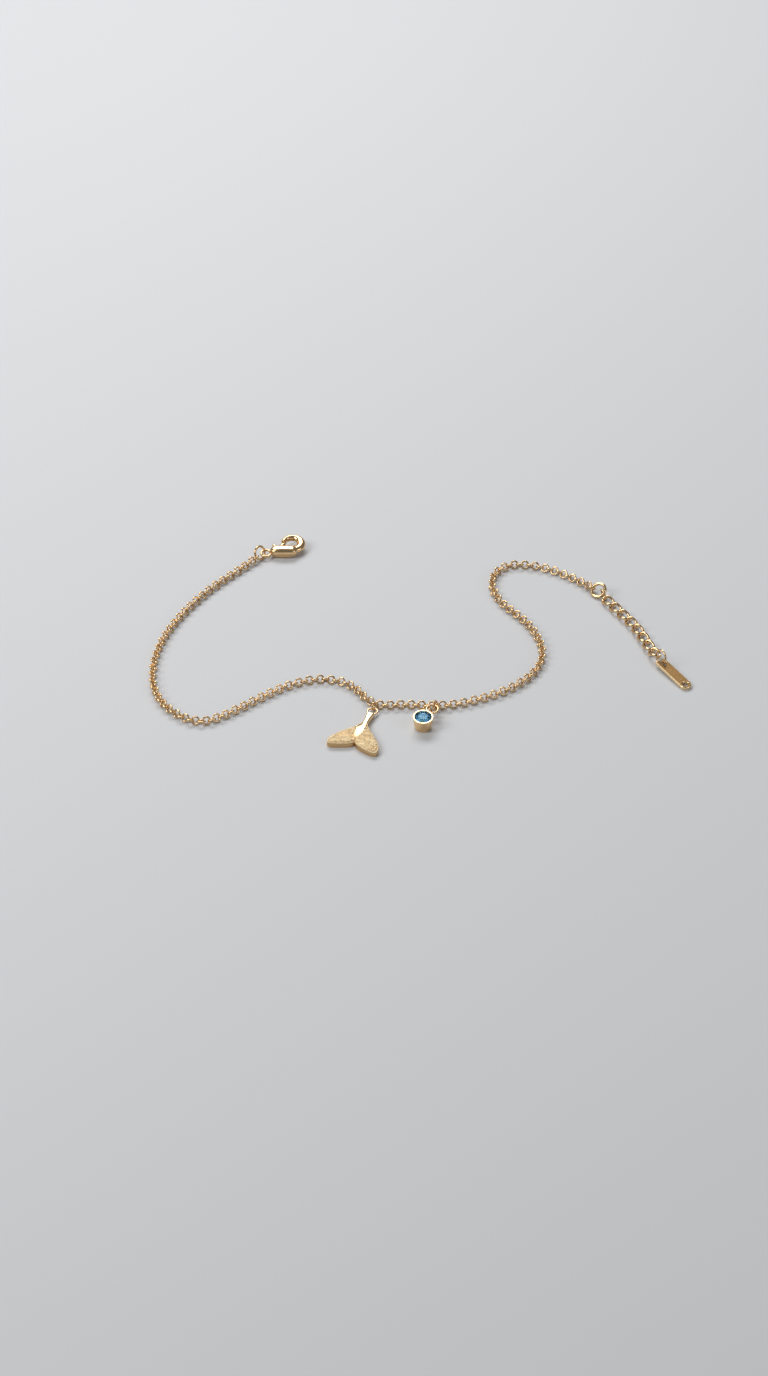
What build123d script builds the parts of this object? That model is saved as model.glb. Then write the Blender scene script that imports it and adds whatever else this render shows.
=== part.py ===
"""Charm anklet, laid out open on a flat surface: fine rolo chain, whale tail charm,
bezel-set blue stone, lobster clasp, and a curb-link extender that ends in a small tag.

Millimetres.  +X runs from the clasp side to the extender side, +Y away from the wearer's
side with the charms, +Z up.  The origin is the middle of the footprint, on the surface.
"""

import os
from math import cos, pi, radians, sin, tan

from build123d import *

# ---------------------------------------------------------------- driving dimensions

clearance = 0.05  # air between two pieces that are linked or nested

# Fine rolo chain: its links fit inside one round tube.
chain_diameter = 1.7
chain_height = chain_diameter / 2  # axis height where the chain lies on the surface
start_height = 1.2  # axis height where the clasp's ring lifts the chain
end_height = 1.4  # and where the extender's ring does

# Jump rings: outer diameter and wire diameter.
clasp_ring_size = (3.70, 0.55)
tail_ring_size = (2.30, 0.40)
bezel_ring_size = (3.05, 0.45)
bezel_link_size = (2.45, 0.40)
end_ring_size = (4.10, 0.78)
extender_ring_size = (3.00, 0.38)
tag_ring_size = (3.90, 0.42)

# Lobster clasp, in its own plane: x along the bar, y towards the hook's back.
clasp_corner = (-35.6, 33.6)  # the bar's front left corner
clasp_tilt = 8.0  # degrees, the hook's back lifted
bar_length = 6.0
bar_width = 2.3
bar_height = 2.5
bar_end_round = 0.8  # the bar's corners, seen from above
bar_edge_round = 0.5
# The hook lies between two circles that aren't concentric, so it thins to its tip.
hook_outer_centre = (5.12, 3.5)
hook_outer_radius = 2.88
hook_inner_centre = (4.77, 3.55)
hook_inner_radius = 1.3
hook_thickness = 1.6
hook_edge_round = 0.4
hook_tip_y = 3.95  # the tip's end face
clasp_eye_size = (2.9, 0.60)
clasp_eye_middle = (-1.25, 0.65, -0.18)  # soldered to the bar's end, a little low
lever_pivot = (1.3, 1.6)
lever_pivot_radius = 0.7
lever_tip = (2.9, 3.35)
lever_tip_radius = 0.5
lever_thumb = (0.55, 3.2)
lever_thumb_radius = 0.42
lever_thumb_root = 0.6
lever_thickness = 1.1
slot_start = (0.35, 0.8)  # the slot that the lever swings in
slot_length = 3.85
pin_diameter = 0.5
pin_bore = 0.58  # through the lever: a running fit
pin_seat = 0.54  # through the clasp's two cheeks

# Whale tail, in its own plane: y up the stem, origin at the middle of the eye.
tail_eye = (-11.15, -25.35)
tail_heading = -19.4  # degrees, from +Y to the direction of the stem
tail_thickness = 1.45
tail_dome_radius = 100.0
tail_dome_y = -8.5  # the dome's highest place
tail_edge_round = 0.12
tail_eye_size = (2.65, 0.42)
tail_eye_height = 0.68
# One side of the outline: down the stem, round the fluke and back to the notch.
stem_top = (0.88, -1.05)
stem_middle = (0.70, -2.6)
stem_neck = (0.60, -4.3)
fluke_leading = [(0.85, -5.5), (1.5, -6.5), (2.85, -8.1), (4.2, -9.6), (5.4, -11.4), (5.95, -13.0)]
fluke_tip = (5.65, -14.2)
fluke_trailing = [(4.75, -14.35), (3.4, -13.95), (1.9, -13.45), (0.8, -12.85)]
fluke_notch = (0, -12.0)
tail_side = [stem_middle, stem_neck, *fluke_leading, fluke_tip, *fluke_trailing]

# Bezel-set stone.
cup_centre = (0.25, -30.2)
cup_lean = 4.0  # degrees, the face tipped towards the front
cup_height = 3.15
cup_top_radius = 2.3
cup_base_radius = 1.95
cup_floor = 0.4
cup_well = (1.2, 1.6)  # radius of the well below the stone, and the height of its mouth
pocket_radius = 2.10
pocket_height = 2.55
lip_radius = 1.95
lip_depth = 0.3
cup_eye_size = (2.45, 0.42)
cup_eye_bearing = 63.0  # degrees from +X, round the cup
cup_eye_height = 1.7
stone_diameter = 4.06
stone_table = 0.56  # share of the diameter
stone_girdle = 0.09
girdle_height = 2.62
crown_slope = 34.5
upper_half_slope = 40.0
star_slope = 22.0
pavilion_slope = 41.0
lower_half_slope = 42.3

# Curb-link extender.
curb_pitch = 3.18
curb_wire = 0.60
curb_half_length = 1.92
curb_half_width = 1.2
curb_twist = -45.0  # degrees, from the link's middle to its far end
curb_height = 0.77
curb_start = (44.45, 15.39)
curb_headings = [-60, -58, -58, -62, -68, -71, -71, -69]  # degrees from +X, link by link
curb_last_rise = 9.0  # degrees: the standing tag ring lifts the last link's end

# End tag, in its own plane: x towards the free end.
tag_middle = (58.04, -12.14)
tag_heading = -56.8
tag_rise = 3.2  # degrees, the ring end lifted
tag_length = 11.0
tag_width = 2.65
tag_thickness = 0.8
tag_corner = 0.35
tag_bevel = 0.1
tag_hole = 1.6
tag_hole_inset = 1.3

# ---------------------------------------------------------------- where the rings stand

# Each ring: the middle, and the direction its hole faces.
clasp_ring_place = ((-38.30, 33.58, 1.73), (0.70, -0.58, 0.41))
tail_ring_place = ((-10.92, -24.05, 1.15), (0.96, -0.28, 0.0))
bezel_ring_place = ((2.38, -25.95, 1.87), (0.0, -0.1, 1.0))
bezel_link_place = ((3.05, -24.45, 1.7), (0.89, -0.39, 0.23))
end_ring_place = ((42.25, 19.1, 1.4), (-0.41, -0.455, 0.82))
extender_ring_place = ((43.39, 17.32, 1.5), (0.90, 0.36, 0.26))
tag_ring_place = ((55.26, -7.26, 1.92), (0.84, 0.49, -0.22))

# The chain's route, from the clasp's ring to the extender's ring.
chain_route = [
    (-38.85, 32.75, start_height),
    (-42.6, 28.4, chain_height),
    (-50.0, 20.4, chain_height),
    (-56.2, 10.4, chain_height),
    (-60.4, 0.3, chain_height),
    (-61.9, -10.1, chain_height),
    (-60.9, -18.9, chain_height),
    (-56.6, -26.1, chain_height),
    (-49.6, -30.1, chain_height),
    (-43.2, -26.0, chain_height),
    (-36.4, -20.4, chain_height),
    (-30.4, -15.9, chain_height),
    (-22.9, -13.3, chain_height),
    (-15.8, -15.6, chain_height),
    (-11.2, -23.7, chain_height),
    (-3.6, -23.0, chain_height),
    (5.0, -23.9, chain_height),
    (14.1, -21.0, chain_height),
    (22.8, -15.8, chain_height),
    (27.9, -8.4, chain_height),
    (28.2, -0.5, chain_height),
    (24.8, 8.0, chain_height),
    (18.7, 15.0, chain_height),
    (16.4, 23.6, chain_height),
    (20.4, 30.4, chain_height),
    (28.4, 29.6, chain_height),
    (34.6, 26.2, chain_height),
    (39.2, 22.4, chain_height),
    (41.5, 19.5, end_height),
]


# ---------------------------------------------------------------- helpers

os.makedirs("parts", exist_ok=True)


def write(block, name):
    """Label a finished piece and write it to its own file."""
    block.part.label = name
    export_step(block.part, f"parts/{name}.step")
    print(f"{name:20s} volume {block.part.volume:8.3f} mm3")


def wire_ring(place, size, extra=0.0):
    """A round ring of wire: size is (outer diameter, wire diameter)."""
    middle, facing = place
    outer, wire = size
    with BuildPart(Plane(origin=middle, z_dir=facing)) as ring:
        Torus((outer - wire) / 2, wire / 2 + extra)
    return ring


def bend_radii(points, closed=False):
    """The largest arc that each corner of a route leaves room for."""
    corners = list(zip(points, points[1:], points[2:]))
    if closed:
        corners = list(zip(points[-1:] + points[:-1], points, points[1:] + points[:1]))
    radii = []
    for before, here, after in corners:
        run_in = Vector(here) - Vector(before)
        run_out = Vector(after) - Vector(here)
        half_turn = radians(run_in.get_angle(run_out)) / 2
        radii.append(0.45 * min(run_in.length, run_out.length) / tan(half_turn))
    return radii


# ---------------------------------------------------------------- main chain

radii = bend_radii(chain_route)
print("chain bend radii", [round(radius, 1) for radius in radii])

with BuildPart() as main_chain:
    with BuildLine() as chain_line:
        FilletPolyline(*chain_route, radius=radii)
    with BuildSketch(Plane(origin=chain_line.line @ 0, z_dir=chain_line.line % 0)):
        Circle(chain_diameter / 2)
    sweep(path=chain_line.line)
    tube_volume = main_chain.part.volume
    # Where a ring is linked into the chain, its wire passes through a link.
    for place, size in (
        (clasp_ring_place, clasp_ring_size),
        (tail_ring_place, tail_ring_size),
        (bezel_link_place, bezel_link_size),
        (end_ring_place, end_ring_size),
    ):
        add(wire_ring(place, size, extra=2 * clearance).part, mode=Mode.SUBTRACT)
write(main_chain, "main_chain")

chain_length = sum(edge.length for edge in chain_line.edges())
chain_section = pi * (chain_diameter / 2) ** 2
print(f"chain length {chain_length:.1f} mm, solids {len(main_chain.part.solids())}")
print(f"tube {tube_volume:.2f} mm3, section x length {chain_section * chain_length:.2f}")

# ---------------------------------------------------------------- rings

for name, place, size in (
    ("clasp_jump_ring", clasp_ring_place, clasp_ring_size),
    ("tail_jump_ring", tail_ring_place, tail_ring_size),
    ("bezel_jump_ring", bezel_ring_place, bezel_ring_size),
    ("bezel_link_ring", bezel_link_place, bezel_link_size),
    ("end_ring", end_ring_place, end_ring_size),
    ("extender_ring", extender_ring_place, extender_ring_size),
    ("tag_jump_ring", tag_ring_place, tag_ring_size),
):
    write(wire_ring(place, size), name)

# ---------------------------------------------------------------- lobster clasp

tilt = radians(clasp_tilt)
# The bar's rounded front edge touches the surface.
half_flat = bar_height / 2 - bar_edge_round
clasp_lift = bar_edge_round + half_flat * cos(tilt) - bar_edge_round * sin(tilt)
clasp_plane = Plane(
    origin=(*clasp_corner, clasp_lift), x_dir=(1, 0, 0), z_dir=(0, -sin(tilt), cos(tilt))
)
lever_axis = Axis(clasp_plane.from_local_coords((*lever_pivot, 0)), clasp_plane.z_dir)

with BuildPart() as clasp_hook:
    with BuildSketch(clasp_plane):
        with Locations(hook_outer_centre):
            Circle(hook_outer_radius)
        with Locations(hook_inner_centre):
            Circle(hook_inner_radius, mode=Mode.SUBTRACT)
        # The gate, between the hook's tip and the bar.
        with Locations((hook_inner_centre[0], hook_tip_y)):
            Rectangle(
                hook_outer_radius * 2, hook_tip_y, align=(Align.MAX, Align.MAX), mode=Mode.SUBTRACT
            )
    extrude(amount=hook_thickness / 2, both=True)
    fillet(clasp_hook.edges(), hook_edge_round)

with BuildPart() as clasp_body:
    with BuildSketch(clasp_plane):
        with Locations((bar_length / 2, bar_width / 2)):
            RectangleRounded(bar_length, bar_width, bar_end_round)
    extrude(amount=bar_height / 2, both=True)
    fillet(clasp_body.faces().filter_by(clasp_plane).edges(), bar_edge_round)
    add(clasp_hook.part)
    # The eye at the bar's end, soldered on.
    eye_place = clasp_plane.from_local_coords(clasp_eye_middle)
    add(wire_ring((eye_place, clasp_plane.z_dir), clasp_eye_size).part)
    # The slot for the lever, open at the bar's back, and the pin's seat.
    with BuildSketch(clasp_plane):
        with Locations(slot_start):
            Rectangle(slot_length, bar_width, align=(Align.MIN, Align.MIN))
    extrude(amount=lever_thickness / 2 + clearance, both=True, mode=Mode.SUBTRACT)
    with BuildSketch(clasp_plane):
        with Locations(lever_pivot):
            Circle(pin_seat / 2)
    extrude(amount=bar_height, both=True, mode=Mode.SUBTRACT)
write(clasp_body, "clasp_body")

with BuildPart() as clasp_lever:
    for end, end_radius, root_radius in (
        (lever_tip, lever_tip_radius, lever_pivot_radius),
        (lever_thumb, lever_thumb_radius, lever_thumb_root),
    ):
        with BuildSketch(clasp_plane):
            with Locations(lever_pivot):
                Circle(root_radius)
            with Locations(end):
                Circle(end_radius)
            make_hull()
        extrude(amount=lever_thickness / 2, both=True)
    with BuildSketch(clasp_plane):
        with Locations(lever_pivot):
            Circle(pin_bore / 2)
    extrude(amount=lever_thickness, both=True, mode=Mode.SUBTRACT)
write(clasp_lever, "clasp_lever")

with BuildPart() as clasp_pin:
    with BuildSketch(clasp_plane):
        with Locations(lever_pivot):
            Circle(pin_diameter / 2)
    extrude(amount=bar_height / 2 - clearance, both=True)
write(clasp_pin, "clasp_pin")
print("lever axis", lever_axis.position, lever_axis.direction)

# ---------------------------------------------------------------- whale tail

heading = radians(tail_heading)
tail_plane = Plane(origin=(*tail_eye, 0), x_dir=(cos(heading), sin(heading), 0))

with BuildPart() as tail_charm:
    with BuildSketch(tail_plane):
        with BuildLine():
            Line((0, stem_top[1]), stem_top)
            Spline(stem_top, *tail_side, fluke_notch)
            mirror(about=Plane.YZ)
        make_face()
    extrude(amount=tail_thickness)
    # The top is a shallow dome.
    dome_middle = tail_plane.from_local_coords(
        (0, tail_dome_y, tail_thickness - tail_dome_radius)
    )
    with Locations(dome_middle):
        Sphere(tail_dome_radius, mode=Mode.INTERSECT)
    fillet(tail_charm.faces().sort_by(Axis.Z)[-1].edges(), tail_edge_round)
    add(wire_ring(((*tail_eye, tail_eye_height), (0, 0, 1)), tail_eye_size).part)
write(tail_charm, "tail_charm")

# ---------------------------------------------------------------- bezel-set stone

lean = radians(cup_lean)
cup_plane = Plane(
    origin=(*cup_centre, cup_base_radius * sin(lean)),
    x_dir=(1, 0, 0),
    z_dir=(0, -sin(lean), cos(lean)),
)
cup_axis = Axis(cup_plane.origin, cup_plane.z_dir)
# The cup's half section stands in this plane: x outwards, y up.
cup_section = Plane(origin=cup_plane.origin, x_dir=cup_plane.x_dir, z_dir=-cup_plane.y_dir)


def in_cup(radius, bearing, height):
    """A place in the cup's own round coordinates."""
    angle = radians(bearing)
    return cup_plane.from_local_coords((radius * cos(angle), radius * sin(angle), height))


with BuildPart() as bezel_cup:
    with BuildSketch(cup_section):
        with BuildLine():
            Polyline(
                (0, 0),
                (cup_base_radius, 0),
                (cup_top_radius, cup_height),
                (lip_radius, cup_height),
                (lip_radius, cup_height - lip_depth),
                (pocket_radius, cup_height - lip_depth),
                (pocket_radius, pocket_height),
                cup_well,
                (cup_well[0], cup_floor),
                (0, cup_floor),
                close=True,
            )
        make_face()
    revolve(axis=cup_axis)
    # The eye, soldered to the cup's side and standing in line with its middle.
    eye_radius = (cup_eye_size[0] - cup_eye_size[1]) / 2
    wall_slope = (cup_top_radius - cup_base_radius) / cup_height
    wall_radius = cup_base_radius + wall_slope * cup_eye_height
    cup_eye_middle = in_cup(wall_radius + eye_radius, cup_eye_bearing, cup_eye_height)
    across = in_cup(1, cup_eye_bearing + 90, 0) - in_cup(0, 0, 0)
    add(wire_ring((cup_eye_middle, across), cup_eye_size).part)
    # Inside, the eye's wire is filed flush with the pocket.
    with BuildSketch(cup_plane.offset(cup_floor)):
        Circle(cup_well[0])
    extrude(amount=cup_height, mode=Mode.SUBTRACT)
write(bezel_cup, "bezel_cup")

stone_radius = stone_diameter / 2
girdle_top = girdle_height + stone_girdle / 2
girdle_bottom = girdle_height - stone_girdle / 2
table_corner = stone_table * stone_radius
table_height = girdle_top + (stone_radius - table_corner) * tan(radians(crown_slope))
culet_height = girdle_bottom - stone_radius * tan(radians(pavilion_slope))


def cut_facet(bearing, slope, radius, height, side):
    """Grind one facet: it passes through a place and slopes away from the table or culet."""
    place = in_cup(radius, bearing, height)
    tip = in_cup(radius + sin(radians(slope)), bearing, height + side * cos(radians(slope)))
    split(bisect_by=Plane(origin=place, z_dir=tip - place), keep=Keep.BOTTOM)


with BuildPart() as bezel_stone:
    with BuildSketch(cup_plane.offset(culet_height)):
        Circle(stone_radius)
    extrude(amount=table_height - culet_height)
    for bearing in range(0, 360, 45):
        cut_facet(bearing, crown_slope, stone_radius, girdle_top, 1)
        cut_facet(bearing + 22.5, star_slope, table_corner * cos(radians(22.5)), table_height, 1)
        cut_facet(bearing, pavilion_slope, stone_radius, girdle_bottom, -1)
        for half in (11.25, 33.75):
            cut_facet(bearing + half, upper_half_slope, stone_radius, girdle_top, 1)
            cut_facet(bearing + half, lower_half_slope, stone_radius, girdle_bottom, -1)
write(bezel_stone, "bezel_stone")

# ---------------------------------------------------------------- curb-link extender

link_corners = 8
half_side = pi / link_corners  # a side takes twice this angle round the link


def curb_corners():
    """A flat oval ring of straight runs, its two ends twisted opposite ways."""
    corners = []
    for side in range(link_corners):
        angle = half_side * (2 * side + 1)
        along = curb_half_length * cos(angle) / cos(half_side)
        aside = curb_half_width * sin(angle) / cos(half_side)
        twist = radians(curb_twist) * cos(angle) / cos(half_side)
        corners.append((along, aside * cos(twist), aside * sin(twist)))
    return corners


def curb_link(plane):
    """One link of the extender, its length along the plane's x."""
    corners = [plane.from_local_coords(corner) for corner in curb_corners()]
    with BuildPart() as link:
        with BuildLine() as loop:
            FilletPolyline(*corners, radius=bend_radii(corners, closed=True), close=True)
        # The wire is swept in two halves, which meet end to end.
        runs = Wire(loop.edges()).order_edges()
        middle = len(runs) // 2
        for half in (Wire(runs[:middle]), Wire(runs[middle:])):
            with BuildSketch(Plane(origin=half @ 0, z_dir=half % 0)):
                Circle(curb_wire / 2)
            sweep(path=half)
    return link


link_x, link_y = curb_start
for number, link_heading in enumerate(curb_headings, start=1):
    if number > 1:
        step = radians((link_heading + curb_headings[number - 2]) / 2)
        link_x += curb_pitch * cos(step)
        link_y += curb_pitch * sin(step)
    rise = radians(curb_last_rise) if number == len(curb_headings) else 0
    angle = radians(link_heading)
    link_plane = Plane(
        origin=(link_x, link_y, curb_height + curb_half_length * sin(rise)),
        x_dir=(cos(angle) * cos(rise), sin(angle) * cos(rise), sin(rise)),
        z_dir=(-cos(angle) * sin(rise), -sin(angle) * sin(rise), cos(rise)),
    )
    write(curb_link(link_plane), f"curb_link_{number}")

# ---------------------------------------------------------------- end tag

rise = radians(tag_rise)
angle = radians(tag_heading)
tag_plane = Plane(
    origin=(*tag_middle, tag_length / 2 * sin(rise)),
    x_dir=(cos(angle) * cos(rise), sin(angle) * cos(rise), -sin(rise)),
    z_dir=(cos(angle) * sin(rise), sin(angle) * sin(rise), cos(rise)),
)
near_hole_x = tag_hole_inset - tag_length / 2
far_hole_x = tag_length / 2 - tag_width / 2  # in the middle of the rounded end

with BuildPart() as tag:
    with BuildSketch(tag_plane) as outline:
        with Locations((-tag_length / 2, 0)):
            Rectangle(tag_length - tag_width / 2, tag_width, align=(Align.MIN, Align.CENTER))
        fillet(outline.vertices().group_by(Axis.Y)[-1].sort_by(Axis.X)[0], tag_corner)
        with Locations((far_hole_x, 0)):
            Circle(tag_width / 2)
        with Locations((near_hole_x, 0), (far_hole_x, 0)):
            Circle(tag_hole / 2, mode=Mode.SUBTRACT)
    extrude(amount=tag_thickness)
    chamfer(tag.faces().sort_by(Axis.Z)[-1].edges(), tag_bevel)
write(tag, "tag")
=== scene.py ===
# %% [markdown]
# # A charm anklet, laid open
#
# A fine rolo chain carries a granulated whale tail and a blue stone in a bezel cup. One end has
# a lobster clasp, the other a curb-link extender with a small tag. It is gold-plated brass.
#
# The hard pieces come from a CAD model in metres, with +X from the clasp to the extender, +Y
# away from the charms and +Z up. That model is loaded first and stays as it is. This script
# gives it finishes, links in place of the plain tube that stands for the chain, and beads.

# %% Load the frame
import math

import bpy
import numpy as np
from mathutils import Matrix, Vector
from mathutils.geometry import delaunay_2d_cdt


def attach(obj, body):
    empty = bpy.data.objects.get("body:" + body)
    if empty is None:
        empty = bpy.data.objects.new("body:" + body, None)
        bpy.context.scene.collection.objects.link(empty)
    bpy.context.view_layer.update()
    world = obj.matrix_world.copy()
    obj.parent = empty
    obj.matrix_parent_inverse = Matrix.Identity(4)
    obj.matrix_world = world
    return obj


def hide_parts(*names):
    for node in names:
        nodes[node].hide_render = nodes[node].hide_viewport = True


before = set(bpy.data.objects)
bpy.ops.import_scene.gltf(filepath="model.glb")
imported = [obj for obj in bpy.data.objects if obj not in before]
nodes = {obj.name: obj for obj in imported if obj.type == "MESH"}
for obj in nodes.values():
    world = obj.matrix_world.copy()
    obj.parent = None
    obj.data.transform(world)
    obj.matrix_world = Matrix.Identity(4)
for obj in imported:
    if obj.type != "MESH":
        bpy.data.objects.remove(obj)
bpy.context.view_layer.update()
MM = 0.001
print("nodes:", ", ".join(sorted(nodes)))

# %% [markdown]
# ## Two helpers for finishes
#
# Colours are given as sRGB hex values, but a shader works in linear light, so one
# function converts them. The other adds a shader node with its settings and its links, which
# keeps each finish below down to the few lines that say what it is.

# %% Colour and node helpers
def linear(hex_colour):
    """Turn an sRGB hex colour into the linear colour that a shader takes."""
    channels = [int(hex_colour[i : i + 2], 16) / 255 for i in (1, 3, 5)]
    return (*(c / 12.92 if c <= 0.04045 else ((c + 0.055) / 1.055) ** 2.4 for c in channels), 1.0)


def add_node(tree, kind, inputs=None, **settings):
    """Add a shader node. inputs maps a socket to its value, or to the output that feeds it."""
    made = tree.nodes.new("ShaderNode" + kind)
    for setting, value in settings.items():
        setattr(made, setting, value)
    for socket, value in (inputs or {}).items():
        if isinstance(value, bpy.types.NodeSocket):
            tree.links.new(value, made.inputs[socket])
        else:
            made.inputs[socket].default_value = value
    return made


def empty_material(name):
    """A material with no nodes but its output, and its node tree."""
    material = bpy.data.materials.new(name)
    material.use_nodes = True
    material.node_tree.nodes.clear()
    return material, material.node_tree


def per_mm(size_mm):
    """The texture scale whose features are about size_mm across, in object coordinates."""
    return 1 / (size_mm * MM)


print("linear value of mid grey:", round(linear("#808080")[0], 3))

# %% [markdown]
# ## Gold plate, tumbled and polished
#
# Brass castings and wire are tumbled with steel shot and then plated with pale yellow gold.
# Tumbling leaves a bright surface that isn't a perfect mirror: faint dimples a few tenths of a
# millimetre across bend the reflections, and fine handling marks spread the highlights. So the
# shader is a metal with low roughness that drifts a little, a weak bump for the dimples, and a
# colour that turns slightly redder where the plate is thin.

# %% Polished gold plate
champagne_gold = linear("#EDCFA2")
thin_plate_gold = linear("#E0B985")


def gold_plate(
    name,
    smoothest,
    roughest,
    dimple_mm,
    dimple_depth_mm,
    thick=champagne_gold,
    thin=thin_plate_gold,
):
    """Gold-plated brass, smooth to the touch."""
    material, tree = empty_material(name)
    place = add_node(tree, "TexCoord").outputs["Object"]
    drift = add_node(tree, "TexNoise", {"Vector": place, "Scale": per_mm(1.6), "Detail": 3.0})
    marks = add_node(tree, "TexNoise", {"Vector": place, "Scale": per_mm(0.12), "Detail": 2.0})
    dimples = add_node(tree, "TexNoise", {"Vector": place, "Scale": per_mm(dimple_mm)})
    tone = add_node(
        tree,
        "Mix",
        {"Factor": drift.outputs["Fac"], "A": thick, "B": thin},
        data_type="RGBA",
    )
    both = add_node(
        tree,
        "Math",
        {0: drift.outputs["Fac"], 1: marks.outputs["Fac"]},
        operation="MULTIPLY",
    )
    rough = add_node(
        tree,
        "MapRange",
        {
            "Value": both.outputs["Value"],
            "From Min": 0.1,
            "From Max": 0.4,
            "To Min": smoothest,
            "To Max": roughest,
        },
    )
    bump = add_node(
        tree,
        "Bump",
        {"Height": dimples.outputs["Fac"], "Strength": 0.35, "Distance": dimple_depth_mm * MM},
    )
    shader = add_node(
        tree,
        "BsdfPrincipled",
        {
            "Base Color": tone.outputs["Result"],
            "Metallic": 1.0,
            "Roughness": rough.outputs["Result"],
            "Normal": bump.outputs["Normal"],
        },
    )
    add_node(tree, "OutputMaterial", {"Surface": shader.outputs["BSDF"]})
    return material


polished_gold = gold_plate("polished_gold_plate", 0.13, 0.26, 0.5, 0.004)
wire_gold = gold_plate("drawn_wire_gold_plate", 0.14, 0.28, 0.35, 0.004)
print("gold finishes:", polished_gold.name, wire_gold.name)

# %% [markdown]
# ## Helpers for pieces
#
# Every piece that is made here needs a name, a material and a body to ride on. Vertices are
# worked out in millimetres with numpy, because some pieces have hundreds of copies of one small
# shape, and turned to metres in a single place.

# %% Make and finish a piece
def make_piece(
    name, vertices, faces, material, slot, replaced=(), sharp_angle=180.0, body="anklet"
):
    """Build a mesh from millimetre vertices and put it on a body."""
    mesh = bpy.data.meshes.new(name)
    mesh.from_pydata((np.asarray(vertices) * MM).tolist(), [], faces)
    mesh.validate()
    mesh.shade_smooth()
    if sharp_angle < 180:
        mesh.set_sharp_from_angle(angle=math.radians(sharp_angle))
    mesh.materials.append(material)
    piece = bpy.data.objects.new(name, mesh)
    bpy.context.scene.collection.objects.link(piece)
    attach(piece, body)
    if replaced:
        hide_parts(*replaced)
    print(f"{name}: {len(mesh.polygons)} faces")
    return piece


def refinish(node_name, material):
    """Give a CAD node a new material and leave its shape alone."""
    node = nodes[node_name]
    node.data.materials.clear()
    node.data.materials.append(material)


# %% [markdown]
# ## Sweeping wire
#
# Rings and links are all round wire bent into a loop. A bevelled curve could make them, but a
# plain sweep gives exact ends: a jump ring is cut from a coil, so it has a fine gap where its
# ends meet, and each end is a flat disc. The section is set up from the loop's own flat
# direction at every step, so the mesh never twists.

# %% Sweep a round section along a path
def unit(vectors):
    """Scale vectors to length one."""
    return vectors / np.linalg.norm(vectors, axis=-1, keepdims=True)


def band_between(here, after, sides):
    """Faces from one ring of vertices to the next, given the first vertex of each."""
    return [
        (here + side, here + beside, after + beside, after + side)
        for side, beside in zip(range(sides), [*range(1, sides), 0])
    ]


def band_faces(rings, sides):
    """Faces that join rings of vertices, each to the next."""
    starts = range(0, rings * sides, sides)
    return [face for pair in zip(starts, starts[1:]) for face in band_between(*pair, sides)]


def end_faces(count, sides):
    """Faces that close the first and last ring, out of count vertices."""
    return [tuple(range(sides))[::-1], tuple(range(count - sides, count))]


def sweep_wire(path, flat_direction, wire, sides, closed=True):
    """Vertices and faces of round wire along a path. An open path gets flat ends."""
    if closed:
        ahead = unit(np.roll(path, -1, axis=0) - np.roll(path, 1, axis=0))
    else:
        ahead = unit(np.gradient(path, axis=0))
    outward = unit(np.cross(ahead, flat_direction))
    upward = np.cross(outward, ahead)
    turn = np.linspace(0, 2 * math.pi, sides, endpoint=False)
    across, up = np.cos(turn)[None, :, None], np.sin(turn)[None, :, None]
    section = across * outward[:, None] + up * upward[:, None]
    vertices = (path[:, None] + wire / 2 * section).reshape(-1, 3)
    faces = band_faces(len(path), sides)
    if closed:
        faces += band_between((len(path) - 1) * sides, 0, sides)
    else:
        faces += end_faces(len(vertices), sides)
    return vertices, faces


def join(parts):
    """Put several (vertices, faces) together as one."""
    vertices, faces, start = [], [], 0
    for part_vertices, part_faces in parts:
        vertices.append(part_vertices)
        faces.extend(tuple(corner + start for corner in face) for face in part_faces)
        start += len(part_vertices)
    return np.concatenate(vertices), faces


# %% [markdown]
# ## Reading a ring's place from the frame
#
# The CAD model already says where every ring and link stands. Its mesh is read once: the middle
# is the mean of the faces, weighted by their area, and the three main directions come from how
# the faces spread about it. For a ring the direction of least spread is where its hole faces.

# %% Middle and main directions of a node
def main_directions(node_name):
    """Middle in mm, and the directions of most, middling and least spread as rows."""
    mesh = nodes[node_name].data
    count = len(mesh.polygons)
    centres, areas = np.empty(count * 3), np.empty(count)
    mesh.polygons.foreach_get("center", centres)
    mesh.polygons.foreach_get("area", areas)
    centres = centres.reshape(-1, 3) / MM
    share = areas / areas.sum()
    middle = share @ centres
    spread = (centres - middle).T @ ((centres - middle) * share[:, None])
    directions = np.linalg.eigh(spread)[1][:, ::-1].T
    if directions[2][2] < 0:
        directions[2] *= -1
    directions[1] = np.cross(directions[2], directions[0])
    return middle, directions


def ring_place(node_name):
    """A CAD ring's middle, main directions, mean radius and wire, all in mm."""
    middle, directions = main_directions(node_name)
    mesh = nodes[node_name].data
    places = np.array([vertex.co[:] for vertex in mesh.vertices]) / MM - middle
    across = places - np.outer(places @ directions[2], directions[2])
    reach = np.linalg.norm(across, axis=1)
    return middle, directions, (reach.max() + reach.min()) / 2, reach.max() - reach.min()


rings = {name: ring_place(name) for name in nodes if name.endswith("_ring")}
for name, (middle, directions, mean_radius, wire) in rings.items():
    print(f"{name}: middle {middle.round(2)}, across {2 * mean_radius + wire:.2f}, wire {wire:.2f}")

# %% [markdown]
# ## Jump rings
#
# Each jump ring is sawn from a coil and closed with pliers. The saw leaves a gap of about four
# hundredths of a millimetre. The thick ring at the chain's end is soldered shut, as it takes
# the clasp, so it alone is a whole loop. The gap is turned to the side of the ring that carries
# nothing, which on most of them is the top.

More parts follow.
